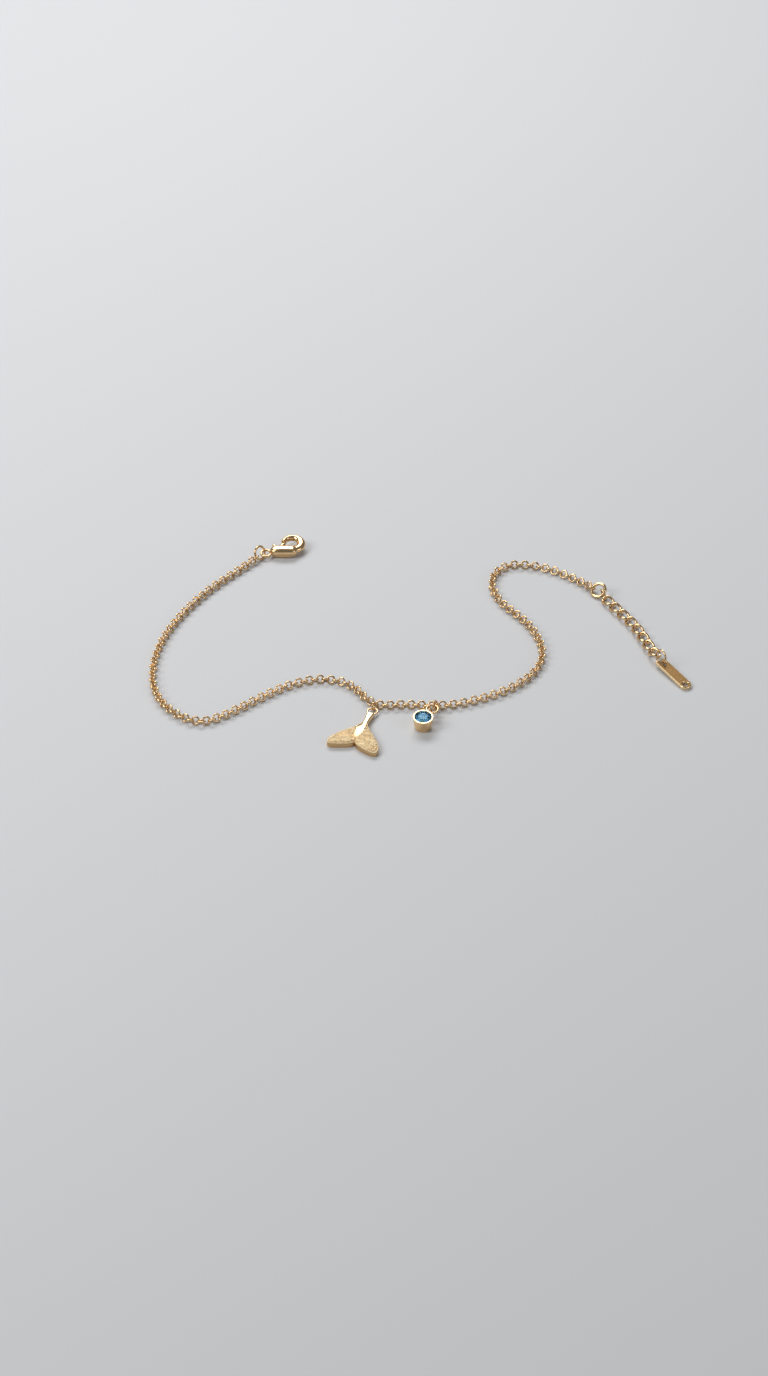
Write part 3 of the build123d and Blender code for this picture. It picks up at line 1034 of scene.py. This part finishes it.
# %% Make the lever and finish the pin
def arm(start, start_half, end, end_half, half_thickness, rows=24, sides=24):
    """A tapered bar with round ends, from one place in the clasp's plane to another."""
    start, end = np.array(start), np.array(end)
    reach = np.linalg.norm(end - start)
    ahead = (end - start) / reach
    aside = np.array([-ahead[1], ahead[0]])
    around = np.linspace(0, 2 * math.pi, sides, endpoint=False)
    third = rows // 3
    left_off = 0.1  # radians of each round end that a small flat face closes
    places = np.concatenate(
        [
            -start_half * np.cos(np.linspace(left_off, math.pi / 2, third)),
            np.linspace(0, reach, third + 2)[1:-1],
            reach + end_half * np.sin(np.linspace(0, math.pi / 2 - left_off, third)),
        ]
    )
    vertices = []
    for place in places:
        share = np.clip(place / reach, 0, 1)
        half = start_half + share * (end_half - start_half)
        past = max(-place / start_half, (place - reach) / end_half, 0)
        taper = math.sqrt(1 - past**2)
        flat = start + ahead * place + np.outer(np.cos(around) * half * taper, aside)
        vertices.append(np.column_stack([flat, np.sin(around) * half_thickness * taper]))
    vertices = np.concatenate(vertices)
    return vertices, band_faces(len(places), sides) + end_faces(len(vertices), sides)


gate_arm = arm(pin_place[:2], 0.70, (2.95, 3.4), 0.50, 0.54)
thumb_arm = arm(pin_place[:2], 0.60, (0.6, 3.1), 0.40, 0.50)
lever_voxel, lever_smoothing = 0.05, 6
vertices, faces = cast([gate_arm, thumb_arm], lever_voxel, lever_smoothing)
make_piece(
    "visual_clasp_lever",
    in_clasp(vertices),
    faces,
    polished_gold,
    "polished_gold_plate",
    ("clasp_lever",),
    body="clasp_lever",
)
refinish("clasp_pin", polished_gold)

# %% [markdown]
# ## Bezel cup
#
# The cup is turned on a lathe: a slightly flared wall, a pocket for the stone and a rim that is
# pushed over the stone and burnished, so the rim is round and bright. It is made here the same
# way, by turning a half section about the cup's axis.

# %% Turn the cup
def lathe(section, middle, directions, steps=96):
    """A half section of (radius, height), from axis to axis, turned about the third direction."""
    turn = np.linspace(0, 2 * math.pi, steps, endpoint=False)
    spokes = np.outer(np.cos(turn), directions[0]) + np.outer(np.sin(turn), directions[1])
    section = np.asarray(section)
    vertices = (
        middle + section[:, 0, None, None] * spokes + section[:, 1, None, None] * directions[2]
    ).reshape(-1, 3)
    return vertices, band_faces(len(section), steps)


def corner(middle, radius, start, end, steps=6):
    """A quarter round of a section, between two bearings in degrees."""
    turn = np.radians(np.linspace(start, end, steps))
    return [(middle[0] + radius * math.cos(t), middle[1] + radius * math.sin(t)) for t in turn]


cup_lean = math.radians(4.0)  # the face tips towards the front
level, tip = math.cos(cup_lean), math.sin(cup_lean)
cup_axes = np.array([(1, 0, 0), (0, level, tip), (0, -tip, level)])
cup_base, cup_top, cup_lip = 1.95, 2.3, 1.95  # radii of the foot, the rim and its mouth
cup_tall = 3.15
foot_round, rim_round, mouth_round = 0.14, 0.08, 0.06
lip_depth, lip_slope = 0.30, 0.04
pocket_radius, pocket_floor = 2.1, 2.55
well_radius, well_top, well_floor = 1.2, 1.6, 0.4
on_axis = 0.001  # a ring of no radius would have faces of no size
cup_foot = np.array([0.25, -30.2, cup_base * tip])
cup_section = [
    (on_axis, 0),
    *corner((cup_base - foot_round, foot_round), foot_round, -90, 0),
    *corner((cup_top - rim_round, cup_tall - rim_round), rim_round, 0, 90),
    *corner((cup_lip + mouth_round, cup_tall - mouth_round), mouth_round, 90, 180),
    (cup_lip, cup_tall - lip_depth),
    (pocket_radius, cup_tall - lip_depth - lip_slope),
    (pocket_radius, pocket_floor),
    (well_radius, well_top),
    (well_radius, well_floor),
    (on_axis, well_floor),
]
cup = lathe(cup_section, cup_foot, cup_axes)
cup_eye_outside, cup_eye_wire, cup_eye_high = 2.45, 0.42, 1.7
cup_eye_bearing = math.radians(63.0)
cup_eye_radius = (cup_eye_outside - cup_eye_wire) / 2
outwards = math.cos(cup_eye_bearing) * cup_axes[0] + math.sin(cup_eye_bearing) * cup_axes[1]
wall_there = cup_base + (cup_top - cup_base) * cup_eye_high / cup_tall
cup_eye_middle = cup_foot + outwards * (wall_there + cup_eye_radius) + cup_axes[2] * cup_eye_high
reach_to_wall = 2.62  # radians from straight out to where the wire meets the wall
eye_steps = 60
turn = np.linspace(-reach_to_wall, reach_to_wall, eye_steps)
eye_path = cup_eye_middle + cup_eye_radius * (
    np.outer(np.cos(turn), outwards) + np.outer(np.sin(turn), cup_axes[2])
)
eye_flat = np.cross(outwards, cup_axes[2])
cup_eye = sweep_wire(eye_path, eye_flat, cup_eye_wire, eye_sides, closed=False)
turned_edge = 40.0  # degrees: the cup's foot and rim turn at least this sharply
make_piece(
    "visual_bezel_cup",
    *join([cup, cup_eye]),
    polished_gold,
    "polished_gold_plate",
    ("bezel_cup",),
    turned_edge,
)

# %% [markdown]
# ## Blue stone
#
# The stone is a clear blue crystal with flat facets. In a closed cup a cutter backs it with
# foil, which throws the light back up. So the crown is tinted crystal that bends light, and the
# facets below the girdle are a pale blue mirror. Light goes in through the crown, strikes a few
# mirrors and comes out again, which gives the play of light and dark patches. The crown has a
# thin blue coating, so what it reflects is blue too.

# %% Crystal and foil
def crystal():
    """Clear blue crystal, polished flat."""
    material, tree = empty_material("blue_crystal")
    place = add_node(tree, "TexCoord").outputs["Object"]
    zones = add_node(tree, "TexNoise", {"Vector": place, "Scale": per_mm(1.2), "Detail": 1.0})
    tone = add_node(
        tree,
        "Mix",
        {"Factor": zones.outputs["Fac"], "A": linear("#6CBBEE"), "B": linear("#98D4F8")},
        data_type="RGBA",
    )
    shader = add_node(
        tree,
        "BsdfPrincipled",
        {
            "Base Color": tone.outputs["Result"],
            "Roughness": 0.01,
            "IOR": 1.62,
            "Specular Tint": linear("#7CC0EE"),
            "Transmission Weight": 1.0,
        },
    )
    add_node(tree, "OutputMaterial", {"Surface": shader.outputs["BSDF"]})
    return material


def foil():
    """Pale blue mirror foil, pressed on the facets from behind."""
    material, tree = empty_material("blue_foil")
    place = add_node(tree, "TexCoord").outputs["Object"]
    press = add_node(tree, "TexNoise", {"Vector": place, "Scale": per_mm(0.6), "Detail": 2.0})
    tone = add_node(
        tree,
        "Mix",
        {"Factor": press.outputs["Fac"], "A": linear("#D4EEFB"), "B": linear("#F4FBFF")},
        data_type="RGBA",
    )
    bump = add_node(
        tree,
        "Bump",
        {"Height": press.outputs["Fac"], "Strength": 0.15, "Distance": 0.02 * MM},
    )
    shader = add_node(
        tree,
        "BsdfPrincipled",
        {
            "Base Color": tone.outputs["Result"],
            "Metallic": 1.0,
            "Roughness": 0.30,
            "Normal": bump.outputs["Normal"],
        },
    )
    add_node(tree, "OutputMaterial", {"Surface": shader.outputs["BSDF"]})
    return material


refinish("bezel_stone", crystal())
stone_mesh = nodes["bezel_stone"].data
stone_mesh.materials.append(foil())
faces_down = -0.2  # how far a facet's direction is below level, where the foil starts
for polygon in stone_mesh.polygons:
    polygon.material_index = 1 if polygon.normal.dot(Vector(cup_axes[2])) < faces_down else 0
stone_mesh.shade_flat()
print("foiled facets:", sum(polygon.material_index for polygon in stone_mesh.polygons))

# %% [markdown]
# ## Floor, light and camera
#
# Small polished metal shows mostly what is around it. A pale floor lights it from below, a
# broad lamp above and behind gives the long soft highlights, and a grey surround keeps dark
# shapes in the reflections, so that the wire still looks round. All of it stays at a plain
# level, at which a colour shows about as it is written.

# %% Floor
floor_size = 4.0
floor_mesh = bpy.data.meshes.new("floor")
half = floor_size / 2
floor_mesh.from_pydata(
    [(-half, -half, 0), (half, -half, 0), (half, half, 0), (-half, half, 0)], [], [(0, 1, 2, 3)]
)
floor_material, floor_tree = empty_material("floor_paper")
floor_shader = add_node(
    floor_tree, "BsdfPrincipled", {"Base Color": linear("#D9DADC"), "Roughness": 0.85}
)
add_node(floor_tree, "OutputMaterial", {"Surface": floor_shader.outputs["BSDF"]})
floor_mesh.materials.append(floor_material)
floor = bpy.data.objects.new("floor", floor_mesh)
bpy.context.scene.collection.objects.link(floor)
print("floor:", floor_size, "m across")

# %% Lamps and surround
world = bpy.data.worlds.new("studio")
world.use_nodes = True
world.node_tree.nodes.clear()
surround = add_node(
    world.node_tree, "Background", {"Color": linear("#CDCECF"), "Strength": 0.30}
)
add_node(world.node_tree, "OutputWorld", {"Surface": surround.outputs["Background"]})
bpy.context.scene.world = world


def add_lamp(name, place, target, size, watts):
    """A rectangular soft lamp that faces a target, all in metres."""
    lamp_data = bpy.data.lights.new(name, "AREA")
    lamp_data.shape = "RECTANGLE"
    lamp_data.size, lamp_data.size_y = size
    lamp_data.energy = watts
    lamp = bpy.data.objects.new(name, lamp_data)
    bpy.context.scene.collection.objects.link(lamp)
    lamp.location = place
    lamp.rotation_euler = (Vector(target) - Vector(place)).to_track_quat("-Z", "Y").to_euler()
    print(f"{name}: {watts} W")


add_lamp("back_softbox", (-0.12, 0.50, 0.55), (0, 0, 0), (0.60, 0.30), 3.4)
add_lamp("left_softbox", (-0.50, -0.15, 0.50), (0, 0, 0), (0.30, 0.40), 2.0)
add_lamp("right_fill", (0.55, -0.30, 0.40), (0, 0, 0), (0.35, 0.35), 0.6)

# %% Camera
camera_aim = Vector((-8.7, -1.3, 0)) * MM
camera_distance = 0.7538
camera_elevation = math.radians(38.05)
camera_depression = math.radians(38.753)
camera_turn = math.radians(-0.0176)
camera_data = bpy.data.cameras.new("camera")
camera_data.lens = 85
camera_data.sensor_width = 36
camera = bpy.data.objects.new("camera", camera_data)
bpy.context.scene.collection.objects.link(camera)
camera.location = camera_aim + camera_distance * Vector(
    (0, -math.cos(camera_elevation), math.sin(camera_elevation))
)
camera.rotation_euler = (math.pi / 2 - camera_depression, 0, camera_turn)
bpy.context.scene.camera = camera
bpy.context.scene.view_settings.view_transform = "Standard"
print("camera place in m:", [round(place, 3) for place in camera.location])
